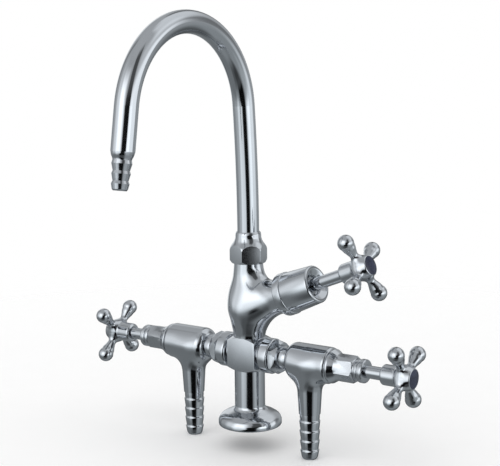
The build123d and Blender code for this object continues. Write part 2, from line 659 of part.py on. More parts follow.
for valve in all_valves:
    hub = valve.arm_plane
    centre = valve.origin + valve.direction * hub
    arm_base = valve.section(hub)
    with BuildPart() as cross_handle:
        with BuildSketch(valve.profile):
            with BuildLine():
                Polyline((hub + handle_foot, 0), (hub + handle_foot, skirt_r - 1.9),
                         (hub + handle_foot + 1.9, skirt_r), (hub - 6.06, skirt_r))
                ThreePointArc((hub - 6.06, skirt_r), (hub, hub_r), (hub + 3.4, 10.04))
                Polyline((hub + 3.4, 10.04), (hub + 8.2, bezel_r), (hub + face, bezel_r - 0.2),
                         (hub + face, 0), (hub + handle_foot, 0))
            make_face()
        revolve(axis=valve.axis)
        for quarter in range(4):
            turn = radians(valve.arm_turn + 90 * quarter)
            arm_direction = arm_base.x_dir * cos(turn) + arm_base.y_dir * sin(turn)
            join = on_circle((arm_reach, 0), ball_r, ball_join_angle)
            with BuildSketch(Plane(origin=centre, x_dir=arm_direction, z_dir=valve.direction)):
                with BuildLine():
                    Polyline((0, 0), (0, 6.0), (6.4, 6.0))
                    Spline((6.4, 6.0), (waist_s, waist_r), join,
                           tangents=[(0.6, -1), (sin(radians(ball_join_angle)),
                                                 -cos(radians(ball_join_angle)))])
                    ThreePointArc(join, on_circle((arm_reach, 0), ball_r, 60),
                                  (arm_reach + ball_r, 0))
                    Line((arm_reach + ball_r, 0), (0, 0))
                make_face()
            revolve(axis=Axis(centre, arm_direction))
        with BuildSketch(valve.profile):
            with BuildLine():
                Polyline((hub + handle_foot, 0), (hub + handle_foot, spindle_r),
                         (hub + drive_floor, spindle_r), (hub + drive_floor, 0), close=True)
            make_face()
        revolve(axis=valve.axis, mode=Mode.SUBTRACT)
        with BuildSketch(valve.profile):
            with BuildLine():
                Polyline((hub + recess_floor, 0), (hub + recess_floor, recess_r),
                         (hub + cap_seat, recess_r), (hub + cap_seat, index_r),
                         (hub + face, index_r), (hub + face, 0), close=True)
            make_face()
        revolve(axis=valve.axis, mode=Mode.SUBTRACT)
        with BuildSketch(valve.section(hub + drive_floor)):
            Rectangle(square_drive, square_drive, rotation=valve.arm_turn)
        extrude(amount=recess_floor - drive_floor, mode=Mode.SUBTRACT)
    cross_handle.part.label = f"{valve.name}_cross_handle"
    export_step(cross_handle.part, f"parts/{valve.name}_cross_handle.step")

    floor = hub + recess_floor
    with BuildPart() as handle_screw:
        with BuildSketch(valve.profile):
            with BuildLine():
                Polyline((floor + 3.1, 0), (floor - screw_hole_depth, 0),
                         (floor - screw_hole_depth, screw_hole_r), (floor, screw_hole_r),
                         (floor, screw_head_r), (floor + 1.2, screw_head_r))
                TangentArc((floor + 3.1, 0), (floor + 1.2, screw_head_r), tangent=(0, 1))
            make_face()
        revolve(axis=valve.axis)
        with BuildSketch(valve.section(floor + 1.4)):
            Rectangle(1.2, 6.4)
            Rectangle(6.4, 1.2)
        extrude(amount=2.0, mode=Mode.SUBTRACT)
    handle_screw.part.label = f"{valve.name}_handle_screw"
    export_step(handle_screw.part, f"parts/{valve.name}_handle_screw.step")

    with BuildPart() as index_cap:
        with BuildSketch(valve.profile):
            with BuildLine():
                Polyline((hub + 8.7, 0), (hub + cap_seat, 0), (hub + cap_seat, recess_r - 1.0),
                         (hub + 1.5, recess_r - 1.0), (hub + 1.5, recess_r),
                         (hub + cap_seat, recess_r), (hub + cap_seat, index_r),
                         (hub + 8.1, index_r))
                TangentArc((hub + 8.7, 0), (hub + 8.1, index_r), tangent=(0, 1))
            make_face()
        revolve(axis=valve.axis)
    index_cap.part.label = f"{valve.name}_index_cap"
    export_step(index_cap.part, f"parts/{valve.name}_index_cap.step")
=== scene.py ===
"""Looks of a bench tap with a gooseneck, two side valves and a slanted top valve."""
import math

import bmesh
import bpy
import numpy as np
from mathutils import Matrix, Vector
from mathutils.geometry import interpolate_bezier


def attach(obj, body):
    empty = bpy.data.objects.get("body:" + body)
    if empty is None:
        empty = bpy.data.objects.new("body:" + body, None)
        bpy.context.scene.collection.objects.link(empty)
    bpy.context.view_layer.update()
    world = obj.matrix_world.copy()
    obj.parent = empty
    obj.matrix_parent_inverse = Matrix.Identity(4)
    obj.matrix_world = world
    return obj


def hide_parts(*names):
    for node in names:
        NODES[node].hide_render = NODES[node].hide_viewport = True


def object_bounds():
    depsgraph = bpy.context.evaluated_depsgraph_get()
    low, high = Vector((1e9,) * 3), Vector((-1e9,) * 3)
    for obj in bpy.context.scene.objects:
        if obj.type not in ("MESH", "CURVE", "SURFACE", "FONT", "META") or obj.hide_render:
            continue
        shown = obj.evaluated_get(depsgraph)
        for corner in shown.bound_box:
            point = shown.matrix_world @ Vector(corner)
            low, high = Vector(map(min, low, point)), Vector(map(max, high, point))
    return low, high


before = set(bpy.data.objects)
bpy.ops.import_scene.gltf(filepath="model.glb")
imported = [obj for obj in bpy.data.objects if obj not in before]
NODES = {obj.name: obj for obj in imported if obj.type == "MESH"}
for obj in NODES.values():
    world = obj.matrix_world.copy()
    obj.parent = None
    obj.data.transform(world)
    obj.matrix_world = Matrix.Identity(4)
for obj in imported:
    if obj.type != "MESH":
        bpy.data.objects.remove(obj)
cad_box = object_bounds()

bl_info = {
    "name": "Bench tap looks",
    "version": (1, 0, 0),
    "blender": (4, 5, 0),
    "location": "3D View > Sidebar > Tap",
    "description": "Builds the visible pieces, finishes and studio of a bench tap",
    "category": "Object",
}

MM = 0.001

# The photograph's frame and the place of its camera.
PHOTO_WIDTH = 500
CAMERA_PLACE = Vector((0.60886, -0.84688, 0.32908))
CAMERA_YAW = math.radians(35.63)
CAMERA_PITCH = math.radians(8.63)
CAMERA_ROLL = math.radians(-0.61)
CAMERA_FOCAL_PIXELS = 1218.16
FILM_WIDTH = 36.0


# ---------------------------------------------------------------- properties

COLOUR = {"subtype": "COLOR", "size": 3, "min": 0, "max": 1}
LENGTH = {"subtype": "DISTANCE", "unit": "LENGTH"}


class TapFinish(bpy.types.PropertyGroup):
    """Colours and surface values of the finishes."""

    chrome: bpy.props.FloatVectorProperty(
        name="Chrome", description="Colour of the chrome plating",
        default=(0.57, 0.59, 0.62), **COLOUR)
    brass: bpy.props.FloatVectorProperty(
        name="Brass", description="Colour of bare brass",
        default=(0.62, 0.42, 0.16), **COLOUR)
    rubber: bpy.props.FloatVectorProperty(
        name="Rubber", description="Colour of the rubber seals",
        default=(0.022, 0.022, 0.024), **COLOUR)
    sealing: bpy.props.FloatVectorProperty(
        name="Sealing plastic", description="Colour of the packings",
        default=(0.74, 0.72, 0.66), **COLOUR)
    steel: bpy.props.FloatVectorProperty(
        name="Screw steel", description="Colour of the handle screws",
        default=(0.48, 0.47, 0.45), **COLOUR)
    index: bpy.props.FloatVectorProperty(
        name="Index caps", description="Colour of the caps in the handles",
        default=(0.018, 0.022, 0.045), **COLOUR)
    chrome_roughness: bpy.props.FloatProperty(
        name="Chrome roughness", description="Roughness of clean plating",
        subtype="FACTOR", min=0, max=1, default=0.055)


class TapSizes(bpy.types.PropertyGroup):
    """Sizes of the soft joins and edges."""

    branch_blend: bpy.props.FloatProperty(
        name="Branch blend", description="How far the slanted branch flows into the pear",
        min=0.001, default=0.018, **LENGTH)
    outlet_blend: bpy.props.FloatProperty(
        name="Outlet blend", description="How far a hose outlet flows into its valve body",
        min=0.001, default=0.011, **LENGTH)
    arm_blend: bpy.props.FloatProperty(
        name="Arm blend", description="How far a handle's arms flow into its hub",
        min=0.001, default=0.0045, **LENGTH)
    soft_edge: bpy.props.FloatProperty(
        name="Soft edge", description="Width of the rounding on edges and flats",
        min=0.00005, max=0.001, default=0.00035, **LENGTH)


class TapStudio(bpy.types.PropertyGroup):
    """Light and floor."""

    floor_colour: bpy.props.FloatVectorProperty(
        name="Floor", description="Colour of the floor",
        default=(0.985, 0.985, 0.985), **COLOUR)
    floor_radius: bpy.props.FloatProperty(
        name="Floor radius", description="Distance at which the floor has faded out",
        min=0.3, default=1.0, **LENGTH)
    soft_light: bpy.props.FloatProperty(
        name="Soft light", description="Strength of the light from all round",
        min=0, default=0.86)
    lamp_power: bpy.props.FloatProperty(
        name="Lamp strength", description="Strength of the main lamp",
        min=0, default=0.42)


# ------------------------------------------------------------ node plumbing

def add_node(tree, kind, inputs=None, **settings):
    """Adds a node, sets its properties, and sets or links its inputs."""
    node = tree.nodes.new(kind)
    for key, value in settings.items():
        setattr(node, key, value)
    for key, value in (inputs or {}).items():
        if isinstance(value, bpy.types.NodeSocket):
            tree.links.new(value, node.inputs[key])
        else:
            node.inputs[key].default_value = value
    return node


def emptied(owner):
    """The owner's node tree, with nothing in it."""
    owner.use_nodes = True
    owner.node_tree.nodes.clear()
    return owner.node_tree


def math_node(tree, operation, *values):
    """One sum of values or sockets."""
    node = add_node(tree, "ShaderNodeMath", dict(enumerate(values)), operation=operation)
    return node.outputs[0]


def product(tree, first, *others):
    """Values or sockets multiplied in turn."""
    for other in others:
        first = math_node(tree, "MULTIPLY", first, other)
    return first


def total(tree, first, *others):
    """Values or sockets added in turn."""
    for other in others:
        first = math_node(tree, "ADD", first, other)
    return first


def less(tree, first, second):
    """The first value or socket less the second."""
    return math_node(tree, "SUBTRACT", first, second)


def ramp(tree, value, low, high, to_low=0.0, to_high=1.0):
    """A value taken from one range to another, with soft ends."""
    node = add_node(tree, "ShaderNodeMapRange",
                    {"Value": value, "From Min": low, "From Max": high,
                     "To Min": to_low, "To Max": to_high}, interpolation_type="SMOOTHSTEP")
    return node.outputs["Result"]


def noise(tree, vector, scale, detail=2.0, roughness=0.5, distortion=0.0):
    """One noise value."""
    node = add_node(tree, "ShaderNodeTexNoise",
                    {"Vector": vector, "Scale": scale, "Detail": detail,
                     "Roughness": roughness, "Distortion": distortion})
    return node.outputs[0]


# ------------------------------------------------------------ shaping pieces
# Profiles are in millimetres: the distance along a piece's axis, the distance out from it
# and, where a corner is rounded, the length the rounding takes off each side of it.

class PieceAxis:
    """An axis that pieces are turned on."""

    def __init__(self, origin, along, out):
        along, out = Vector(along).normalized(), Vector(out).normalized()
        self.along = along
        self.origin = Vector(origin)
        self.turn = Matrix((along, out, along.cross(out))).transposed()


SLOPE = math.radians(21.8)
BAR_Z = 64.9
UPRIGHT = PieceAxis((0, 0, 0), (0, 0, 1), (1, 0, 0))
LEFT = PieceAxis((0, 0, BAR_Z), (-1, 0, 0), (0, 0, 1))
RIGHT = PieceAxis((0, 0, BAR_Z), (1, 0, 0), (0, 0, 1))
TOP = PieceAxis((0, 0, 105.2), (math.cos(SLOPE), 0, math.sin(SLOPE)), (0, -1, 0))
SIDES = (("left", LEFT), ("right", RIGHT))
VALVES = SIDES + (("top", TOP),)

# How finely pieces are spun: those in sight, bores and cores, slim ones, packing nuts.
FINE_SPIN = 144
PLAIN_SPIN = 96
SLIM_SPIN = 64
RING_SPIN = 120
# from a hexagon's corners to its flats
HEXAGON_INSET = math.cos(math.pi / 6)


def flowing(points, steps=16):
    """The same line, drawn smoothly through its points."""
    line = []
    last = len(points) - 1
    for index in range(last):
        here, there = Vector(points[index]), Vector(points[index + 1])
        before = Vector(points[max(index - 1, 0)])
        after = Vector(points[min(index + 2, last)])
        lead, tail = (there - before) / 6.0, (after - here) / 6.0
        run = interpolate_bezier(here, here + lead, there - tail, there, steps + 1)
        line += [(spot[0], spot[1]) for spot in run[:-1]]
    return line + [tuple(points[last])]


def outline(points):
    """The profile as a wire, with its corners rounded."""
    wire = bmesh.new()
    corners = [wire.verts.new((point[0], point[1], 0.0)) for point in points]
    closing = [] if points[0][1] == 0 and points[-1][1] == 0 else [(corners[-1], corners[0])]
    for pair in list(zip(corners, corners[1:])) + closing:
        wire.edges.new(pair)
    for corner, point in zip(corners, points):
        if len(point) == 3:
            bmesh.ops.bevel(wire, geom=[corner], offset=point[2], offset_type="OFFSET",
                            segments=min(12, 2 + int(3 * point[2])), profile=0.5,
                            affect="VERTICES", clamp_overlap=False, material=-1)
    return wire


def spun(axis, points, steps=FINE_SPIN):
    """A closed turned solid."""
    shape = outline(points)
    bmesh.ops.scale(shape, verts=shape.verts, vec=(MM, MM, MM))
    place = Matrix.Translation(axis.origin * MM) @ axis.turn.to_4x4()
    bmesh.ops.transform(shape, matrix=place, verts=shape.verts)
    bmesh.ops.spin(shape, geom=shape.verts[:] + shape.edges[:], cent=axis.origin * MM,
                   axis=axis.along, angle=2 * math.pi, steps=steps, use_merge=True,
                   use_duplicate=False)
    bmesh.ops.remove_doubles(shape, verts=shape.verts, dist=1e-6)
    bmesh.ops.recalc_face_normals(shape, faces=shape.faces)
    return as_mesh(shape)


def opened(*meshes):
    """Meshes put together in one shape for mesh code."""
    shape = bmesh.new()
    for mesh in meshes:
        shape.from_mesh(mesh)
    return shape


def as_mesh(shape):
    """Ends the mesh code of a shape."""
    mesh = bpy.data.meshes.new("shape")
    shape.to_mesh(mesh)
    shape.free()
    return mesh


def cut_off(shape, point, facing):
    """Takes away what lies beyond a plane and closes the opening."""
    section = bmesh.ops.bisect_plane(
        shape, geom=shape.verts[:] + shape.edges[:] + shape.faces[:], dist=1e-7,
        plane_co=point * MM, plane_no=facing, clear_outer=True)
    rim = [part for part in section["geom_cut"] if isinstance(part, bmesh.types.BMEdge)]
    bmesh.ops.contextual_create(shape, geom=rim)


def soften(shape, edges, width):
    """Rounds edges by a width in millimetres."""
    bmesh.ops.bevel(shape, geom=edges, offset=width * MM, offset_type="OFFSET", segments=3,
                    profile=0.5, affect="EDGES", clamp_overlap=True, material=-1)


def hexagonal(mesh, axis, apothem, turn, edge):
    """Cuts six flats so far from the axis, the first turned by some degrees, and softens
    their edges."""
    shape = opened(mesh)
    for index in range(6):
        angle = math.radians(turn + 60.0 * index)
        facing = axis.turn @ Vector((0.0, math.cos(angle), math.sin(angle)))
        cut_off(shape, axis.origin + facing * apothem, facing)
    bmesh.ops.recalc_face_normals(shape, faces=shape.faces)
    soften(shape, [side for side in shape.edges if side.is_manifold
                   and any(len(face.verts) > 8 for face in side.link_faces)
                   and side.calc_face_angle() > math.radians(12)], edge)
    return as_mesh(shape)


def placed(name, data):
    """A new object in the scene."""
    made = bpy.data.objects.new(name, data)
    bpy.context.collection.objects.link(made)
    return made


def with_modifier(mesh, kind, **settings):
    """The mesh after one modifier."""
    holder = placed("holder", mesh)
    step = holder.modifiers.new("step", kind)
    for key, value in settings.items():
        setattr(step, key, value)
    bpy.context.view_layer.update()
    ready = holder.evaluated_get(bpy.context.evaluated_depsgraph_get())
    made = bpy.data.meshes.new_from_object(ready)
    bpy.data.objects.remove(holder)
    return made


def joined(first, second, operation="UNION"):
    """Two closed solids joined, or what the operation leaves of the first."""
    other = placed("other", second)
    made = with_modifier(first, "BOOLEAN", object=other, operation=operation, solver="MANIFOLD")
    bpy.data.objects.remove(other)
    if not made.polygons:
        raise RuntimeError(f"{operation} left nothing")
    return made


def cut(mesh, *tools):
    """Cuts turned solids out of a piece."""
    for tool in tools:
        mesh = joined(mesh, tool, "DIFFERENCE")
    return mesh


# ---------------------------------------------------- castings with soft joins

class TurnedForm:
    """How far a place is from a turned form, and which way is outward there."""

    def __init__(self, axis, points):
        wire = outline(points)
        wire.verts.ensure_lookup_table()
        ends = [corner for corner in wire.verts if abs(corner.co.y) < 1e-6]
        order, last = [ends[0]], None
        while True:
            step = [side for side in order[-1].link_edges if side != last]
            if not step:
                break
            last = step[0]
            order.append(last.other_vert(order[-1]))
        line = np.array([corner.co[:2] for corner in order])
        wire.free()
        if line[0, 0] > line[-1, 0]:
            line = line[::-1]
        self.start, self.run = line[:-1], np.diff(line, axis=0)
        self.axis = axis

    def measure(self, places):
        along = np.array(self.axis.along)
        offset = places - np.array(self.axis.origin)
        w = offset @ along
        out = offset - np.outer(w, along)
        radius = np.linalg.norm(out, axis=1)
        out /= np.maximum(radius, 1e-9)[:, None]
        spot = np.stack((w, radius), axis=1)
        best = np.full(len(spot), np.inf)
        rise = np.zeros(len(spot))
        away = np.zeros_like(spot)
        side = np.zeros_like(spot)
        for start, run in zip(self.start, self.run):
            length = math.hypot(*run)
            share = np.clip(((spot - start) @ run) / length ** 2, 0.0, 1.0)
            step = spot - start - share[:, None] * run
            gap = (step ** 2).sum(axis=1)
            facing = np.array((-run[1], run[0])) / length
            lift = step @ facing
            closer = (gap < best - 1e-9) | ((gap < best + 1e-9) & (abs(lift) > abs(rise)))
            best[closer] = gap[closer]
            rise[closer] = lift[closer]
            away[closer] = step[closer]
            side[closer] = facing
        gap = np.sqrt(best)
        sign = np.where(rise >= 0, 1.0, -1.0)
        direction = np.where((gap > 1e-4)[:, None],
                             away * (sign / np.maximum(gap, 1e-9))[:, None], side)
        return sign * gap, direction[:, :1] * along + direction[:, 1:] * out


def soft_join(first, second, reach):
    """Two measured forms as one, with a soft hollow between them."""
    (near, near_way), (far, far_way) = first, second
    share = np.clip(0.5 + 0.5 * (far - near) / reach, 0.0, 1.0)
    gap = far * (1 - share) + near * share - reach * share * (1 - share)
    way = far_way * (1 - share)[:, None] + near_way * share[:, None]
    return gap, way / np.maximum(np.linalg.norm(way, axis=1), 1e-9)[:, None]


# how often a casting's skin is drawn onto its form, and how far at most, in millimetres
DRAW_ROUNDS = 7
LONGEST_DRAW = 1.5


def casting(solids, measure, grain=0.6):
    """One smooth skin over overlapping solids, drawn onto their softly joined form."""
    skin = with_modifier(as_mesh(opened(*solids)), "REMESH", mode="VOXEL",
                         voxel_size=grain * MM, use_smooth_shade=True)
    places = np.empty(3 * len(skin.vertices))
    skin.vertices.foreach_get("co", places)
    places = places.reshape(-1, 3) / MM
    for _ in range(DRAW_ROUNDS):
        gap, way = measure(places)
        places -= np.clip(gap, -LONGEST_DRAW, LONGEST_DRAW)[:, None] * way
    skin.vertices.foreach_set("co", (places * MM).ravel())
    skin.update()
    return skin


def trimmed(mesh, axis, *ends):
    """Cuts a skin off square at distances along an axis; the sign says which side goes."""
    shape = opened(mesh)
    for distance, keep_below in ends:
        cut_off(shape, axis.origin + axis.along * distance,
                axis.along if keep_below else -axis.along)
    bmesh.ops.recalc_face_normals(shape, faces=shape.faces)
    return as_mesh(shape)


# A face with this many corners and this area in square metres is a milled flat.
FLAT_CORNERS = 20
FLAT_AREA = 4e-5
# edges that turn by more than this stay sharp
SHARP_ANGLE = math.radians(32.0)


def piece(name, mesh, finish, body, slot, *nodes):
    """Finishes a piece: shading, material, the body it moves with and the nodes it stands for."""
    shape = opened(mesh)
    bmesh.ops.dissolve_degenerate(shape, edges=shape.edges, dist=2e-6)
    for face in shape.faces:
        face.smooth = True
    for side in shape.edges:
        side.smooth = not side.is_manifold or side.calc_face_angle() < SHARP_ANGLE
    mesh = as_mesh(shape)
    mesh.name = name
    flat = mesh.attributes.new("satin", "FLOAT", "FACE")
    flat.data.foreach_set("value", [
        float(len(face.vertices) >= FLAT_CORNERS and face.area > FLAT_AREA)
        for face in mesh.polygons])
    mesh.materials.clear()
    mesh.materials.append(FINISHES[finish])
    made = placed(name, mesh)
    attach(made, body)
    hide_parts(*nodes)


# -------------------------------------------------------------------- studio

# How the light shown to the metal goes with height, each from one height in degrees to
# another and from one strength to another.
LOW_LIGHT = (-25, 5, 0.25, 0.50)
HIGH_LIGHT = (30, 75, 0, 0.06)
GROUND_LIGHT = (-55, -85, 0, 0.10)
# Panels of the studio: left, right, low and high edge in degrees seen from the tap (0 is the
# camera's side), soft edge, lean to the side for each degree up, and how much light is added
# or, below 0, kept out.
PANELS = (
    (-98, -56, -12, 42, 14, 0, 0.36),
    (-64, -14, -14, 42, 12, 0.08, 0.95),
    (-56, -24, 8, 30, 10, 0, 0.50),
    (-94, -60, -4, 26, 8, 0, 0.20),
    (-66, -38, -28, -12, 9, 0, 0.20),
    (30, 100, -11, 16, 8, 0.42, 0.85),
    (34, 62, -10, 4, 6, 0, 0.60),
    (32, 114, -62, -12, 9, 0, 0.13),
    (34, 74, -34, -12, 7, 0, 0.14),
    (52, 112, 14, 44, 12, 0, 0.26),
    (75, 165, 32, 78, 10, 0, 0.38),
    (-60, 24, -68, -38, 12, 0, -0.50),
    (-30, 16, -60, -34, 8, 0, -0.45),
    (124, 172, -58, -18, 9, 0, -0.45),
    (104, 132, 4, 28, 7, 0, -0.52),
    (164, 177, -24, 58, 5, 0, -0.60),
    (-172, -148, -12, 30, 6, 0, 0.46),
    (-140, -128, -30, 52, 5, 0.2, -0.45),
)
# The dark band beside the camera: where its left and its right edge stand at each height,
# how soft they are, and the heights between which it is darkest.
BAND_LEFT = ((-20, -9, -31, -14), (0, 32, 0, 23))
BAND_RIGHT = (-5, 13, 22, 43)
BAND_EDGE = (-5, 5)
BAND_HEIGHTS = ((-42, -30), (68, 50), (8, 26, 0.985, 0.80))


def build_world(studio):
    """White behind the object, soft light on it, and a lit studio for the metal to show."""
    world = bpy.data.worlds.new("studio")
    tree = emptied(world)
    coordinates = add_node(tree, "ShaderNodeTexCoord")
    turned = add_node(tree, "ShaderNodeMapping",
                      {"Vector": coordinates.outputs["Generated"],
                       "Rotation": (0.0, 0.0, -CAMERA_YAW)}, vector_type="VECTOR")
    parts = add_node(tree, "ShaderNodeSeparateXYZ", {0: turned.outputs[0]})
    round_angle = math_node(tree, "ARCTAN2", parts.outputs["X"],
                            product(tree, parts.outputs["Y"], -1.0))
    azimuth = product(tree, round_angle, 180.0 / math.pi)
    height = product(tree, math_node(tree, "ARCSINE", parts.outputs["Z"]), 180.0 / math.pi)

    light = total(tree, ramp(tree, height, *LOW_LIGHT), ramp(tree, height, *HIGH_LIGHT),
                  ramp(tree, height, *GROUND_LIGHT))
    for left, right, low, high, soft, lean, gain in PANELS:
        shifted = less(tree, azimuth, product(tree, height, lean))
        mask = product(tree,
                       product(tree, ramp(tree, shifted, left - soft, left + soft),
                               ramp(tree, shifted, right + soft, right - soft)),
                       product(tree, ramp(tree, height, low - soft, low + soft),
                               ramp(tree, height, high + soft, high - soft)))
        if gain > 0:
            light = total(tree, light, product(tree, mask, gain))
        else:
            light = product(tree, light, less(tree, 1.0, product(tree, mask, -gain)))
    left = total(tree, *(ramp(tree, height, *step) for step in BAND_LEFT))
    right = ramp(tree, height, *BAND_RIGHT)
    band = product(tree, ramp(tree, less(tree, azimuth, left), *BAND_EDGE),
                   ramp(tree, less(tree, right, azimuth), *BAND_EDGE),
                   *(ramp(tree, height, *step) for step in BAND_HEIGHTS))
    light = product(tree, light, less(tree, 1.0, band))
    tint = add_node(tree, "ShaderNodeMix", {"Factor": ramp(tree, height, -30.0, 20.0),
                                            6: (0.90, 0.97, 1.0, 1.0),
                                            7: (0.95, 0.98, 1.0, 1.0)}, data_type="RGBA")
    shown = add_node(tree, "ShaderNodeBackground",
                     {"Color": tint.outputs[2], "Strength": light})
    white, soft = (add_node(tree, "ShaderNodeBackground",
                            {"Color": (1.0, 1.0, 1.0, 1.0), "Strength": strength})
                   for strength in (1.0, studio.soft_light))
    path = add_node(tree, "ShaderNodeLightPath")
    metal = add_node(tree, "ShaderNodeMixShader",
                     {0: path.outputs["Is Glossy Ray"], 1: soft.outputs[0],
                      2: shown.outputs[0]})
    seen = math_node(tree, "MAXIMUM", path.outputs["Is Camera Ray"],
                     path.outputs["Is Transmission Ray"])
    both = add_node(tree, "ShaderNodeMixShader",
                    {0: seen, 1: metal.outputs[0], 2: white.outputs[0]})
    add_node(tree, "ShaderNodeOutputWorld", {"Surface": both.outputs[0]})
    bpy.context.scene.world = world


def build_camera():
    """The photograph's camera."""
    forward = Vector((-math.sin(CAMERA_YAW) * math.cos(CAMERA_PITCH),
                      math.cos(CAMERA_YAW) * math.cos(CAMERA_PITCH),
                      -math.sin(CAMERA_PITCH)))
    level = Vector((math.cos(CAMERA_YAW), math.sin(CAMERA_YAW), 0.0))
    upright = level.cross(forward)
    right = math.cos(CAMERA_ROLL) * level + math.sin(CAMERA_ROLL) * upright
    up = math.cos(CAMERA_ROLL) * upright - math.sin(CAMERA_ROLL) * level
    lens = bpy.data.cameras.new("camera")
    lens.sensor_width = FILM_WIDTH
    lens.sensor_fit = "HORIZONTAL"
    lens.lens = CAMERA_FOCAL_PIXELS * FILM_WIDTH / PHOTO_WIDTH
    lens.clip_start = 0.01
    lens.clip_end = 50.0
    camera = placed("camera", lens)
    turn = Matrix((right, up, -forward)).transposed()
    camera.matrix_world = Matrix.Translation(CAMERA_PLACE) @ turn.to_4x4()
    bpy.context.scene.camera = camera


def build_floor(studio):
    """A pale round floor that fades into the white."""
    disc = bmesh.new()
    bmesh.ops.create_circle(disc, cap_ends=True, segments=96, radius=studio.floor_radius)
    bmesh.ops.translate(disc, verts=disc.verts, vec=(0.0, 0.0, cad_box[0][2] - 0.1 * MM))
    floor = placed("floor", as_mesh(disc))
    floor.visible_glossy = False
    material = bpy.data.materials.new("floor")
    tree = emptied(material)
    coordinates = add_node(tree, "ShaderNodeTexCoord")
    shade = ramp(tree, noise(tree, coordinates.outputs["Object"], 30, 4), 0.3, 0.7, 0.993, 1)
    colour = add_node(tree, "ShaderNodeVectorMath",
                      {0: tuple(studio.floor_colour), "Scale": shade}, operation="SCALE")
    surface = add_node(tree, "ShaderNodeBsdfPrincipled",
                       {"Base Color": colour.outputs[0], "Roughness": 0.8,
                        "Specular IOR Level": 0.1})
    distance = add_node(tree, "ShaderNodeVectorMath",
                        {0: coordinates.outputs["Object"]}, operation="LENGTH")
    fade = ramp(tree, distance.outputs["Value"], 0.25 * studio.floor_radius,
                0.98 * studio.floor_radius)
    clear = add_node(tree, "ShaderNodeBsdfTransparent")
    mixed = add_node(tree, "ShaderNodeMixShader",
                     {0: fade, 1: surface.outputs[0], 2: clear.outputs[0]})
    add_node(tree, "ShaderNodeOutputMaterial", {"Surface": mixed.outputs[0]})
    floor.data.materials.append(material)


def build_lamps(studio):
    """Two wide, soft lamps far away: a main one and a weaker one from the other side."""
    for name, azimuth, height, share in (("main_lamp", -50.0, 60.0, 1.0),
                                         ("side_lamp", 70.0, 44.0, 0.4)):
        lamp = bpy.data.lights.new(name, "SUN")
        lamp.angle = math.radians(50)
        lamp.energy = studio.lamp_power * share
        turn = math.radians(azimuth) + CAMERA_YAW
        tilt = math.radians(height)
        away = Vector((math.sin(turn) * math.cos(tilt), -math.cos(turn) * math.cos(tilt),
                       math.sin(tilt)))
        holder = placed(name, lamp)
        holder.location = away
        holder.rotation_euler = away.to_track_quat("Z", "Y").to_euler()
        holder.visible_glossy = False


class TAP_OT_studio(bpy.types.Operator):
    """Build the floor, the light and the photograph's camera"""

    bl_idname = "tap.studio"
    bl_label = "Studio"

    def execute(self, context):
        """Builds the stage."""
        studio = context.scene.tap_studio
        build_camera()
        build_floor(studio)
        build_lamps(studio)
        build_world(studio)
        context.scene.view_settings.view_transform = "Standard"
        return {"FINISHED"}


# ------------------------------------------------------------------ finishes

FINISHES = {}
AXIS_FINISH = {"left": "chrome_level", "right": "chrome_level", "top": "chrome_slanted"}


def new_group(name, inputs, *outputs):
    """A node group with a vector, values that have a default, and values that come out."""
    tree = bpy.data.node_groups.new(name, "ShaderNodeTree")
    tree.interface.new_socket(name="Vector", in_out="INPUT", socket_type="NodeSocketVector")
    for label, value in inputs.items():
        socket = tree.interface.new_socket(name=label, in_out="INPUT",
                                           socket_type="NodeSocketFloat")
        socket.default_value = value
    for label in outputs:
        tree.interface.new_socket(name=label, in_out="OUTPUT", socket_type="NodeSocketFloat")
    given, out = tree.nodes.new("NodeGroupInput"), tree.nodes.new("NodeGroupOutput")
    return tree, given.outputs, out.inputs


def stretched(tree, vector, scale):
    """The vector with each direction scaled."""
    node = add_node(tree, "ShaderNodeVectorMath", {0: vector, 1: scale}, operation="MULTIPLY")
    return node.outputs[0]


def surface_marks_group():
    """Smudges, wipe marks, turning lines and slow waves of a handled surface."""
    tree, given, out = new_group(
        "surface_marks", {"Roughness": 0.1, "Smudges": 0.06, "Waves": 1, "Lines": 0.3},
        "Roughness", "Height", "Shade")
    vector = given["Vector"]
    clouds = ramp(tree, noise(tree, vector, 38, 5, 0.62, 0.5), 0.44, 0.72)
    wipes = ramp(tree, noise(tree, stretched(tree, vector, (1, 0.25, 0.6)), 210, 3, 0.6,
                             1.2), 0.5, 0.78)
    spots = ramp(tree, noise(tree, vector, 620, 1), 0.7, 0.78)
    lines = noise(tree, stretched(tree, vector, (1, 0.012, 0.012)), 1500, 2, 0.7)
    waves = noise(tree, vector, 75, 1, 0.4)
    marks = total(tree, product(tree, clouds, 0.6), product(tree, wipes, 0.4),
                  product(tree, spots, 0.8))
    lined = product(tree, less(tree, lines, 0.5), given["Lines"])
    rough = total(tree, math_node(tree, "MULTIPLY_ADD", marks, given["Smudges"],
                                  given["Roughness"]), product(tree, lined, 0.12))
    height = total(tree, product(tree, waves, given["Waves"]), product(tree, lined, 0.05))
    tree.links.new(math_node(tree, "MAXIMUM", rough, 0.03), out["Roughness"])
    tree.links.new(height, out["Height"])
    tree.links.new(less(tree, 1, product(tree, marks, 0.5)), out["Shade"])


def crease_shade_and_dirt_group():
    """Painted shade and dirt in creases, where little light reaches, more in some places than in
    others.
    """
    tree, given, out = new_group("crease_shade_and_dirt", {"Distance": 0.003}, "Dirt")
    shelter = add_node(tree, "ShaderNodeAmbientOcclusion", {"Distance": given["Distance"]},
                       samples=6)
    patches = ramp(tree, noise(tree, given["Vector"], 160, 4, 0.6), 0.3, 0.75, 0.35, 1)
    # darker where the surroundings hide the light: painted shade in creases, with dirt, broken up
    # by patches
    dirt = product(tree, ramp(tree, shelter.outputs["AO"], 0.75, 0.15), patches)
    tree.links.new(dirt, out["Dirt"])


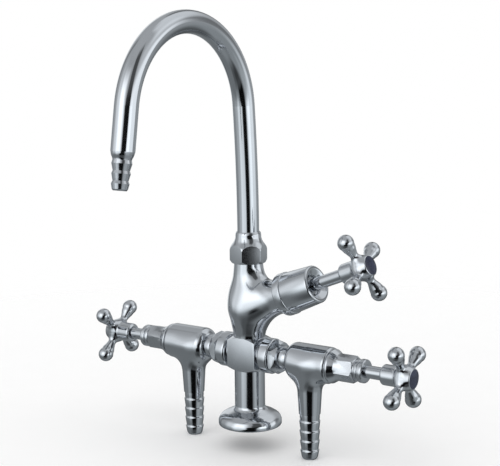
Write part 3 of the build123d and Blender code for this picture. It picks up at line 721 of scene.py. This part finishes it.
def edge_wear_group():
    """Where plating and plastic wear first: on edges, unevenly."""
    tree, given, out = new_group("edge_wear", {"Radius": 0.0006}, "Wear")
    soft = add_node(tree, "ShaderNodeBevel", {"Radius": given["Radius"]}, samples=4)
    flat = add_node(tree, "ShaderNodeNewGeometry")
    same = add_node(tree, "ShaderNodeVectorMath",
                    {0: soft.outputs[0], 1: flat.outputs["Normal"]}, operation="DOT_PRODUCT")
    broken = ramp(tree, noise(tree, given["Vector"], 420, 3, 0.6), 0.35, 0.65)
    wear = product(tree, ramp(tree, same.outputs["Value"], 0.995, 0.90), broken)
    tree.links.new(wear, out["Wear"])


def blended(tree, share, first, second):
    """A colour between two others."""
    colours = {"Factor": share}
    for slot, colour in ((6, first), (7, second)):
        colours[slot] = colour if isinstance(colour, bpy.types.NodeSocket) else (*colour, 1.0)
    return add_node(tree, "ShaderNodeMix", colours, data_type="RGBA").outputs[2]


def new_material(name):
    """An empty material with a Principled surface."""
    material = bpy.data.materials.new(name)
    tree = emptied(material)
    surface = tree.nodes.new("ShaderNodeBsdfPrincipled")
    add_node(tree, "ShaderNodeOutputMaterial", {"Surface": surface.outputs[0]})
    FINISHES[name] = material
    return tree, surface


def local_vector(tree, turn=(0.0, 0.0, 0.0)):
    """Object coordinates, turned so that the first one runs along the piece's axis."""
    place = add_node(tree, "ShaderNodeTexCoord")
    return add_node(tree, "ShaderNodeMapping",
                    {"Vector": place.outputs["Object"], "Rotation": turn}).outputs[0]


def use_group(tree, name, inputs):
    """Places a node group in a material."""
    node = add_node(tree, "ShaderNodeGroup", inputs, node_tree=bpy.data.node_groups[name])
    return node.outputs


def connect(tree, surface, base, rough, height, rise):
    """Gives a surface its colour, its roughness and its relief of so many metres."""
    bump = add_node(tree, "ShaderNodeBump", {"Height": height, "Distance": rise,
                                             "Strength": 1.0})
    for source, name in ((base, "Base Color"), (rough, "Roughness"), (bump.outputs[0], "Normal")):
        tree.links.new(source, surface.inputs[name])


# how much rougher a metal is where its creases hold dirt and painted shade, where it is worn, or
# where it is milled flat
DIRT_ROUGHNESS = 0.25
WEAR_ROUGHNESS = 0.10
SATIN_ROUGHNESS = 0.065


def metal(name, colour, shade_and_dirt_colour, worn, turn, roughness, smudges, waves, lines, rise, wear=0.5,
          dirt=0.6):
    """A plated or bare metal with marks, painted shade and dirt in its creases, and wear on its
    edges.
    """
    tree, surface = new_material(name)
    vector = local_vector(tree, turn)
    marks = use_group(tree, "surface_marks",
                      {"Vector": vector, "Roughness": roughness, "Smudges": smudges,
                       "Waves": waves, "Lines": lines})
    creases = use_group(tree, "crease_shade_and_dirt", {"Vector": vector, "Distance": 0.0028})
    edges = use_group(tree, "edge_wear", {"Vector": vector, "Radius": 0.0005})
    shade_and_dirt_share = product(tree, creases["Dirt"], dirt)
    wear_share = product(tree, edges["Wear"], wear)
    clean = blended(tree, marks["Shade"], tuple(0.93 * part for part in colour), colour)
    # creases are painted darker towards the crease colour: painted shade, with dirt, then wear on
    # the edges
    base = blended(tree, wear_share, blended(tree, shade_and_dirt_share, clean, shade_and_dirt_colour), worn)
    satin = add_node(tree, "ShaderNodeAttribute", attribute_type="GEOMETRY",
                     attribute_name="satin")
    rough = total(tree, marks["Roughness"], product(tree, shade_and_dirt_share, DIRT_ROUGHNESS),
                  product(tree, wear_share, WEAR_ROUGHNESS),
                  product(tree, satin.outputs["Fac"], SATIN_ROUGHNESS))
    connect(tree, surface, base, rough, marks["Height"], rise)
    surface.inputs["Metallic"].default_value = 1.0


def seal(name, colour, dusty, roughness, grain, rise):
    """Rubber or sealing plastic with a fine grain, a little dust, and painted shade and dirt in
    its creases.
    """
    tree, surface = new_material(name)
    vector = local_vector(tree)
    creases = use_group(tree, "crease_shade_and_dirt", {"Vector": vector, "Distance": 0.002})
    pores = noise(tree, vector, grain, 3, 0.6)
    dust = ramp(tree, noise(tree, vector, 260, 4, 0.65, 0.4), 0.42, 0.8, 0, 0.55)
    base = blended(tree, dust, colour, dusty)
    # creases painted darker, towards half the colour: painted shade, with dirt
    base = blended(tree, product(tree, creases["Dirt"], 0.4), base,
                   tuple(0.5 * part for part in colour))
    rough = ramp(tree, pores, 0.3, 0.7, roughness - 0.08, roughness + 0.1)
    connect(tree, surface, base, rough, pores, rise)


def index_cap(name, colour):
    """Dark glossy plastic, a little lighter where it has been rubbed."""
    tree, surface = new_material(name)
    vector = local_vector(tree)
    marks = use_group(tree, "surface_marks",
                      {"Vector": vector, "Roughness": 0.16, "Smudges": 0.16, "Waves": 0.8,
                       "Lines": 0.0})
    edges = use_group(tree, "edge_wear", {"Vector": vector, "Radius": 0.0006})
    rubbed = ramp(tree, noise(tree, vector, 140, 3, 0.6), 0.4, 0.7, 0, 0.5)
    base = blended(tree, rubbed, colour, tuple(2.2 * part + 0.006 for part in colour))
    base = blended(tree, product(tree, edges["Wear"], 0.4), base,
                   tuple(4.0 * part + 0.03 for part in colour))
    connect(tree, surface, base, marks["Roughness"], marks["Height"], 1.5e-5)


def node_finish(name, slot):
    """The finish of a carried-over node."""
    if slot != "chrome_turned":
        return FINISHES[slot]
    side = name.split("_")[0]
    return FINISHES[AXIS_FINISH.get(side, "chrome_upright")]


class TAP_OT_finishes(bpy.types.Operator):
    """Make the finishes and give them to the carried-over nodes"""

    bl_idname = "tap.finishes"
    bl_label = "Finishes"

    def execute(self, context):
        """Makes the node groups, the materials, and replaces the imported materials."""
        finish = context.scene.tap_finish
        surface_marks_group()
        crease_shade_and_dirt_group()
        edge_wear_group()
        chrome, rough = tuple(finish.chrome), finish.chrome_roughness
        # the plating's colour, its darker colour of painted shade and dirt in creases, and its
        # worn colour; brass and steel below take the same order
        plating = (chrome, tuple(0.42 * part for part in chrome),
                   tuple(min(1.0, 1.18 * part) for part in chrome))
        level, upright, slanted = ((0.0, lean, 0.0) for lean in (0.0, math.pi / 2, SLOPE))
        metal("chrome_cast", *plating, level, rough + 0.045, 0.05, 1, 0, 3.0e-5)
        metal("chrome_tube", *plating, upright, rough + 0.01, 0.035, 0.5, 0.15, 1.6e-5)
        for name, turn in (("chrome_level", level), ("chrome_upright", upright),
                           ("chrome_slanted", slanted)):
            metal(name, *plating, turn, rough + 0.035, 0.05, 0.5, 0.5, 2.0e-5)
        metal("brass", tuple(finish.brass), (0.10, 0.065, 0.03), (0.78, 0.60, 0.30), level,
              0.24, 0.2, 0.6, 1, 3.0e-5, 0.6, 0.9)
        metal("screw_steel", tuple(finish.steel), (0.09, 0.085, 0.08), (0.66, 0.65, 0.63),
              level, 0.26, 0.12, 0.4, 1, 2.0e-5, 0.7, 0.8)
        seal("rubber", tuple(finish.rubber), (0.10, 0.10, 0.095), 0.62, 900, 4.0e-5)
        seal("sealing_plastic", tuple(finish.sealing), (0.60, 0.57, 0.50), 0.42, 500, 2.0e-5)
        index_cap("index_plastic", tuple(finish.index))
        for name, node in NODES.items():
            for slot in node.material_slots:
                slot.material = node_finish(name, slot.material.name.split(".")[0])
        return {"FINISHED"}


# -------------------------------------------------------------------- pieces

class TAP_OT_pedestal(bpy.types.Operator):
    """Build the pedestal, the cross block and the unions' nuts"""

    bl_idname = "tap.pedestal"
    bl_label = "Pedestal, block and unions"

    def execute(self, context):
        """Turned column with its flange, the block, and the nuts on both sides of it."""
        edge = context.scene.tap_sizes.soft_edge / MM
        dome = flowing([(4.8, 28), (8.1, 26.4), (10.9, 22.6), (12.8, 18.2)], 8)
        column = spun(UPRIGHT, [
            (0, 9.3), (0, 18, 0.3), (2, 18), (2, 25), (0, 25, 0.3),
            (0, 28, 1.6), *dome, (14.6, 13.4, 3), (18.2, 13.4), (50.1, 13.4),
            (50.1, 10), (55.9, 10), (55.9, 6), (19, 6), (16, 9.3)])
        piece("pedestal_column", column, "chrome_upright", "tap_body", "chrome_cast",
              "pedestal")

        block = bmesh.new()
        bmesh.ops.create_cube(block, size=1.0)
        bmesh.ops.scale(block, verts=block.verts, vec=(28.8 * MM, 27.2 * MM, 29.6 * MM))
        bmesh.ops.translate(block, verts=block.verts, vec=(0, 0, BAR_Z * MM))
        turned_ends = spun(UPRIGHT, [(50.1, 0), (50.1, 14), (53.5, 20.8), (76.3, 20.8),
                                     (79.7, 14), (79.7, 0)], PLAIN_SPIN)
        block = opened(joined(as_mesh(block), turned_ends, "INTERSECT"))
        bmesh.ops.dissolve_limit(block, angle_limit=math.radians(0.2), verts=block.verts,
                                 edges=block.edges)
        soften(block, [side for side in block.edges
                       if side.calc_face_angle(0) > math.radians(15)], 1.4 * edge)
        block = cut(
            as_mesh(block),
            spun(UPRIGHT, [(50, 0), (50, 10), (55.9, 10), (55.9, 6),
                           (73.9, 6), (73.9, 10), (79.8, 10), (79.8, 0)], PLAIN_SPIN),
            *(spun(axis, [(0, 0), (0, 6), (7.5, 6), (7.5, 8), (14.5, 8),
                          (14.5, 0)], PLAIN_SPIN) for _, axis in SIDES))
        piece("square_block", block, "chrome_cast", "tap_body", "chrome_cast", "cross_block")

        for side, axis in SIDES:
            hexagon = spun(axis, [(28.4, 9.5), (28.4, 14.1), (29.3, 15.3), (30.8, 15.3),
                                  (35.4, 12.7), (35.4, 9.5)])
            hexagon = hexagonal(hexagon, axis, 13.25, 30, edge)
            collar = spun(axis, [(17.4, 11.4), (17.4, 15.4, 2.4), (27.4, 15.4, 1.5),
                                 (27.4, 13.2), (28.6, 13.2), (28.6, 11.4)])
            bore = spun(axis, [(17, 0), (17, 11.4), (31, 11.4), (31, 9.5), (36, 9.5),
                               (36, 0)], PLAIN_SPIN)
            piece(f"{side}_coupling_nut", cut(joined(collar, hexagon), bore), "chrome_level",
                  "tap_body", "chrome_turned", f"{side}_union_nut")
        return {"FINISHED"}


def valve_bore(axis, waterway, seat, mouth):
    """The room inside a valve body: the waterway, the raised seat and the headwork's place."""
    return spun(axis, [*waterway, (seat, 4.6), (seat, 6.4), (seat - 1.5, 7.4),
                       (seat - 1.5, 11), (seat + 14.3, 11), (seat + 14.3, 12.4),
                       (mouth, 12.4), (mouth, 0)], PLAIN_SPIN)


def two_form_casting(first, second, reach):
    """A casting of two turned forms, each an axis and its profile, with a soft join."""
    forms = TurnedForm(*first), TurnedForm(*second)
    return casting(
        [spun(*first, PLAIN_SPIN), spun(*second, PLAIN_SPIN)],
        lambda places: soft_join(forms[0].measure(places), forms[1].measure(places), reach))


def quarter_round(centre, radius, steps=24):
    """The quarter of a circle that rises from its left to its top."""
    return [(centre[0] - radius * math.cos(math.pi / 2 * step / steps),
             centre[1] + radius * math.sin(math.pi / 2 * step / steps))
            for step in range(1, steps + 1)]


class TAP_OT_valve_bodies(bpy.types.Operator):
    """Build both side valve bodies with their hose nozzles"""

    bl_idname = "tap.valve_bodies"
    bl_label = "Side valve bodies"

    def execute(self, context):
        """A round body and a tapering outlet, cast in one with a soft join."""
        reach = context.scene.tap_sizes.outlet_blend / MM
        for side, axis in SIDES:
            outward = axis.along.x
            drop = PieceAxis((62.7 * outward, 0, 0), (0, 0, 1), (1, 0, 0))
            barrel = [(43.6, 0), (43.6, 8.8), *quarter_round((50.4, 8.8), 6.8),
                      (86, 15.6, 2.9), (86, 0)]
            outlet = [(14, 0), (14, 9), (20, 9.35), (42, 10.7), (BAR_Z, 12.1),
                      (BAR_Z, 0)]
            skin = two_form_casting((axis, barrel), (drop, outlet), reach)
            skin = trimmed(skin, drop, (20, False))
            barbs = [(-19.8, 0), (-19.8, 6, 0.3), (-18.2, 7, 0.3)]
            for height, radius in ((-12.3, 8.2), (-3.7, 8.6), (4.9, 8.9), (13.5, 9.15)):
                barbs += [(height, radius, 0.25), (height + 1, radius - 0.75, 0.3),
                          (height + 2.8, radius - 0.55)]
            barbs += [(20.6, 8.65), (20.6, 0)]
            skin = cut(
                joined(skin, spun(drop, barbs)),
                valve_bore(axis, [(43, 0), (43, 8.5), (53, 8.5), (53, 4.6)], 61.5, 87),
                spun(drop, [(-20.5, 0), (-20.5, 5), (-19.8, 4.8), (-19.2, 4.2),
                            (BAR_Z - 9, 4.2), (BAR_Z - 9, 0)], PLAIN_SPIN))
            piece(f"{side}_valve_casting", skin, "chrome_cast", "tap_body", "chrome_cast",
                  f"{side}_valve_body")
        return {"FINISHED"}


class TAP_OT_centre_body(bpy.types.Operator):
    """Build the pear-shaped body with its slanted branch"""

    bl_idname = "tap.centre_body"
    bl_label = "Centre body"

    def execute(self, context):
        """One flowing casting, with the turned rim at the end of the branch."""
        reach = context.scene.tap_sizes.branch_blend / MM
        pear = [(76, 0), (76, 14),
                *flowing([(79.7, 14), (84.4, 14.3), (94, 16.2), (105, 18.35),
                          (119.2, 16.6), (133.2, 13.7), (145.2, 12.6), (149, 12.6)]),
                (149, 0)]
        branch = [(0, 0), (0, 13.6), (44, 15), (44, 0)]
        skin = two_form_casting((UPRIGHT, pear), (TOP, branch), reach)
        skin = trimmed(skin, UPRIGHT, (79.7, False), (145.2, True))
        skin = trimmed(skin, TOP, (42, True))
        for solid in (spun(TOP, [(40.5, 0), (40.5, 18.6, 1.3), (48.5, 18.6, 1), (48.5, 0)]),
                      spun(UPRIGHT, [(144, 0), (144, 12.5), (155, 12.5), (155, 0)]),
                      spun(UPRIGHT, [(73.9, 0), (73.9, 10), (81, 10), (81, 0)])):
            skin = joined(skin, solid)
        skin = cut(
            skin, valve_bore(TOP, [(0, 0), (0, 4.6)], 13.5, 49),
            spun(UPRIGHT, [(148, 0), (148, 9.58), (150.4, 9.58), (150.4, 11),
                           (152, 11), (152, 9.58), (155.5, 9.58), (155.5, 0)],
                 PLAIN_SPIN),
            spun(UPRIGHT, [(73.5, 0), (73.5, 4.6), (108.2, 4.6), (108.2, 0)], SLIM_SPIN),
            spun(PieceAxis((6.6, 0, 0), (0, 0, 1), (1, 0, 0)),
                 [(114, 0), (114, 5.2), (148.5, 5.2), (148.5, 0)], SLIM_SPIN))
        piece("pear_casting", skin, "chrome_cast", "tap_body", "chrome_cast", "centre_body")
        return {"FINISHED"}


# how far along its valve's axis each packing nut starts, in millimetres
RING_STARTS = {"left": 110.5, "right": 110.5, "top": 62.5}


class TAP_OT_headworks(bpy.types.Operator):
    """Build the gooseneck nut, the sleeve, the side bonnets and the packing nuts"""

    bl_idname = "tap.headworks"
    bl_label = "Nuts, sleeve and bonnets"

    def execute(self, context):
        """Turned pieces with soft edges, some with flats."""
        edge = context.scene.tap_sizes.soft_edge / MM
        flare = flowing([(156.6, 16.5), (159.3, 15.6), (163.6, 12.6), (167, 11.3)], 8)
        nut = spun(UPRIGHT, [
            (145.2, 12.6), (145.2, 14.6), (147.8, 16.5), *flare, (169.6, 11.2), (171.4, 10.9),
            (172.4, 10.1), (172.4, 9.58), (159.65, 9.58), (159.65, 12.6)])
        nut = hexagonal(nut, UPRIGHT, 16.5 * HEXAGON_INSET, 75, 3 * edge)
        piece("swivel_nut", nut, "chrome_upright", "tap_body", "chrome_turned",
              "gooseneck_nut")

        sleeve = spun(TOP, [
            (48.5, 13.2), (48.5, 17.9, 0.5), (76, 16.2, 1.7), (76, 13.4, 0.5),
            (73, 8.4, 0.4), (71, 8.4), (71, 11), (68, 13.2)])
        piece("tapered_sleeve", sleeve, "chrome_slanted", "tap_body", "chrome_turned",
              "top_shroud")

        for side, axis in SIDES:
            hexagon = spun(axis, [(87, 7), (87, 9.6), (90, 11.6), (107.9, 11.6),
                                  (109.5, 9.7), (109.5, 7)])
            hexagon = hexagonal(hexagon, axis, 11.6 * HEXAGON_INSET, 14, edge)
            cone = spun(axis, [(77, 7), (77, 12.4), (86, 12.4), (86, 14.6, 0.5),
                               (87.7, 14.6, 0.5), (92.5, 11.6, 0.35), (99, 10.05),
                               (102, 9.6), (110.5, 9, 0.4), (110.5, 7)])
            bore = spun(axis, [(76.5, 0), (76.5, 8.6), (84.5, 8.6), (84.5, 6.05),
                               (104, 6.05), (104, 7.6), (111, 7.6), (111, 0)],
                        PLAIN_SPIN)
            piece(f"{side}_headwork", cut(joined(cone, hexagon), bore), "chrome_level",
                  "tap_body", "chrome_turned", f"{side}_bonnet")
        for side, axis in VALVES:
            start = RING_STARTS[side]
            end = start + 8.1
            ring = spun(axis, [
                (start - 3.5, 5.48), (start - 3.5, 7.6), (start, 7.6), (start, 9.3, 0.3),
                (start + 2.7, 9.5, 0.2), (start + 3.1, 8.9, 0.2), (start + 3.5, 10, 0.4),
                (end, 10, 1.4), (end, 5.48)], RING_SPIN)
            piece(f"{side}_packing_ring", ring, AXIS_FINISH[side], "tap_body",
                  "chrome_turned", f"{side}_packing_nut")
        return {"FINISHED"}


def turned_about(offset, along, angles):
    """Offsets turned about an axis, each by its own angle."""
    cos, sin = np.cos(angles)[:, None], np.sin(angles)[:, None]
    return (offset * cos + np.cross(along, offset) * sin
            + np.outer(offset @ along, along) * (1 - cos))


def ball_end(centre, radius, join, steps=40):
    """The round end of an arm, from where the arm joins it to its tip."""
    angles = [math.radians(join * (1 - step / steps)) for step in range(steps)]
    return [(centre + radius * math.cos(angle), radius * math.sin(angle)) for angle in angles]


# For each handle, how far along its valve's axis its middle is, in millimetres, and by how
# many degrees its first arm is turned.
HANDLES = {"left": (153.9, -47.5), "right": (153.9, 34.2), "top": (123, 27.5)}


class TAP_OT_handles(bpy.types.Operator):
    """Build the three cross handles"""

    bl_idname = "tap.handles"
    bl_label = "Cross handles"

    def execute(self, context):
        """A round hub with four clubs that flow into it, cast in one."""
        reach = context.scene.tap_sizes.arm_blend / MM
        for side, axis in VALVES:
            piece(f"{side}_cross_casting", self.cross(axis, *HANDLES[side], reach),
                  "chrome_cast", f"{side}_handle_set", "chrome_cast", f"{side}_cross_handle")
        return {"FINISHED"}

    def cross(self, axis, plane, turn, reach):
        """One handle's shape."""
        hub_axis = PieceAxis(axis.origin + axis.along * plane, axis.along,
                             axis.turn @ Vector((0, 1, 0)))
        level, angle = Vector((0, 1, 0)), math.radians(turn)
        first = level * math.cos(angle) + axis.along.cross(level) * math.sin(angle)
        arm_axis = PieceAxis(hub_axis.origin, first, hub_axis.along)
        hub = [(-19.5, 0), (-19.5, 8.7, 1.9), (-6.5, 8.7), *flowing([
            (-6, 8.75), (-3.4, 10.05), (0, 10.6), (3.4, 10.1), (6.4, 9.2)], 6),
            (8.4, 8.5, 0.5), (8.4, 0)]
        arm = [(0, 0), (0, 5.6), *flowing([(5, 5.2), (9, 3.7), (12.6, 3.4), (16.2, 4.2),
                                          (20, 5.5)], 6),
               *ball_end(26.2, 6.9, 118), (33.1, 0)]
        forms = TurnedForm(hub_axis, hub), TurnedForm(arm_axis, arm)
        across = hub_axis.along.cross(first)

        def measure(places):
            """The hub softly joined with the nearest arm."""
            offset = places - np.array(hub_axis.origin)
            flat = np.arctan2(offset @ np.array(across), offset @ np.array(first))
            quarter = np.round(flat / (math.pi / 2)) * (math.pi / 2)
            along = np.array(hub_axis.along)
            gap, way = forms[1].measure(turned_about(offset, along, -quarter)
                                        + np.array(hub_axis.origin))
            return soft_join(forms[0].measure(places),
                             (gap, turned_about(way, along, quarter)), reach)

        solids = [spun(hub_axis, hub, PLAIN_SPIN)]
        for quarter in range(4):
            turned = Matrix.Rotation(math.pi / 2 * quarter, 3, hub_axis.along) @ first
            solids.append(spun(PieceAxis(hub_axis.origin, turned, hub_axis.along), arm,
                               SLIM_SPIN))
        return cut(
            casting(solids, measure, 0.55),
            spun(hub_axis, [(-20, 0), (-20, 5.8), (-19.5, 5.8), (-19.1, 5.4),
                            (-15.4, 5.4), (-15.4, 4.4), (-6.9, 4.4), (-6.9, 6.4),
                            (6.9, 6.4), (6.9, 8), (9, 8), (9, 0)], PLAIN_SPIN))


class TAP_PT_panel(bpy.types.Panel):
    """Lists the steps and their settings"""

    bl_idname = "TAP_PT_panel"
    bl_label = "Bench tap"
    bl_space_type = "VIEW_3D"
    bl_region_type = "UI"
    bl_category = "Tap"

    def draw(self, context):
        """Draws the settings, then one button for each step."""
        for group in (context.scene.tap_finish, context.scene.tap_sizes,
                      context.scene.tap_studio):
            for key in group.__annotations__:
                self.layout.prop(group, key)
        for step in STEPS:
            self.layout.operator(step.bl_idname)


STEPS = (TAP_OT_finishes, TAP_OT_pedestal, TAP_OT_valve_bodies, TAP_OT_centre_body,
         TAP_OT_headworks, TAP_OT_handles, TAP_OT_studio)
CLASSES = (TapFinish, TapSizes, TapStudio) + STEPS + (TAP_PT_panel,)


def register():
    """Adds the classes and the settings."""
    for entry in CLASSES:
        bpy.utils.register_class(entry)
    bpy.types.Scene.tap_finish = bpy.props.PointerProperty(type=TapFinish)
    bpy.types.Scene.tap_sizes = bpy.props.PointerProperty(type=TapSizes)
    bpy.types.Scene.tap_studio = bpy.props.PointerProperty(type=TapStudio)


def unregister():
    """Takes the settings and the classes out again."""
    del bpy.types.Scene.tap_studio
    del bpy.types.Scene.tap_sizes
    del bpy.types.Scene.tap_finish
    for entry in reversed(CLASSES):
        bpy.utils.unregister_class(entry)


def main():
    """Builds everything in order."""
    register()
    for step in STEPS:
        group, name = step.bl_idname.split(".")
        getattr(getattr(bpy.ops, group), name)()


if __name__ == "__main__":
    main()
